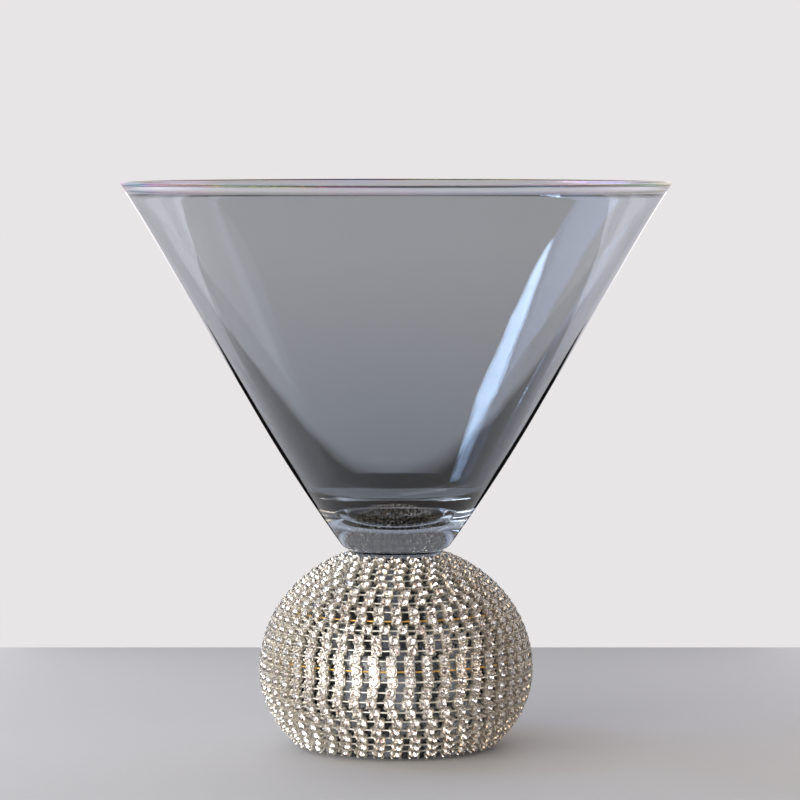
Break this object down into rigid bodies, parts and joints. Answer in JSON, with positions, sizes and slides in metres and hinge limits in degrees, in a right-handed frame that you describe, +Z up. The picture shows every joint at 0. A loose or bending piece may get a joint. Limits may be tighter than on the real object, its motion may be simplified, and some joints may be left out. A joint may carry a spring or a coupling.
{
  "type": "martini glass",
  "caption": "Stemless martini glass: a conical bowl of smoky glass on a solid glass ball foot, which is wound with rings of rhinestone cup chain.",
  "frame": {"origin": "middle of the ball foot's flat underside, on the table", "axes": "+Z up through the middle of the bowl; -Y is the front of the chain's pattern"},
  "size_m": [0.1158, 0.1158, 0.119],
  "materials": {
    "smoke_glass": "clear glass with a thin smoky blue-grey lustre on its outside, fire-polished rim",
    "ball_glass": "clear glass with the same smoky lustre, underside ground flat and polished",
    "clear_adhesive": "thin clear cured adhesive, glossy",
    "silver_chain": "bright silver plate over stamped brass",
    "gilt_chain": "bright gilt plate over stamped brass",
    "rhinestone": "cut lead crystal with a silver foil back"
  },
  "bodies": {
    "root": {"glass_bowl": "smoke_glass", "ball_foot": "ball_glass", "adhesive_film": "clear_adhesive", "chain_row_01": "silver_chain", "chain_row_02": "silver_chain", "chain_row_03": "silver_chain", "chain_row_04": "silver_chain", "chain_row_05": "silver_chain", "chain_row_06": "silver_chain", "chain_row_07": "silver_chain", "chain_row_08": "silver_chain", "chain_row_09": "gilt_chain", "chain_row_10": "silver_chain", "chain_row_11": "silver_chain", "chain_row_12": "silver_chain", "chain_row_13": "silver_chain", "chain_row_14": "gilt_chain", "chain_row_15": "silver_chain", "chain_row_16": "silver_chain", "chain_row_17": "silver_chain", "chain_row_18": "silver_chain", "chain_row_19": "silver_chain", "chain_row_20": "silver_chain", "chain_row_21": "silver_chain", "chain_row_22": "silver_chain", "chain_row_23": "silver_chain", "stones_row_01": "rhinestone", "stones_row_02": "rhinestone", "stones_row_03": "rhinestone", "stones_row_04": "rhinestone", "stones_row_05": "rhinestone", "stones_row_06": "rhinestone", "stones_row_07": "rhinestone", "stones_row_08": "rhinestone", "stones_row_09": "rhinestone", "stones_row_10": "rhinestone", "stones_row_11": "rhinestone", "stones_row_12": "rhinestone", "stones_row_13": "rhinestone", "stones_row_14": "rhinestone", "stones_row_15": "rhinestone", "stones_row_16": "rhinestone", "stones_row_17": "rhinestone", "stones_row_18": "rhinestone", "stones_row_19": "rhinestone", "stones_row_20": "rhinestone", "stones_row_21": "rhinestone", "stones_row_22": "rhinestone", "stones_row_23": "rhinestone"}
  },
  "joints": []
}
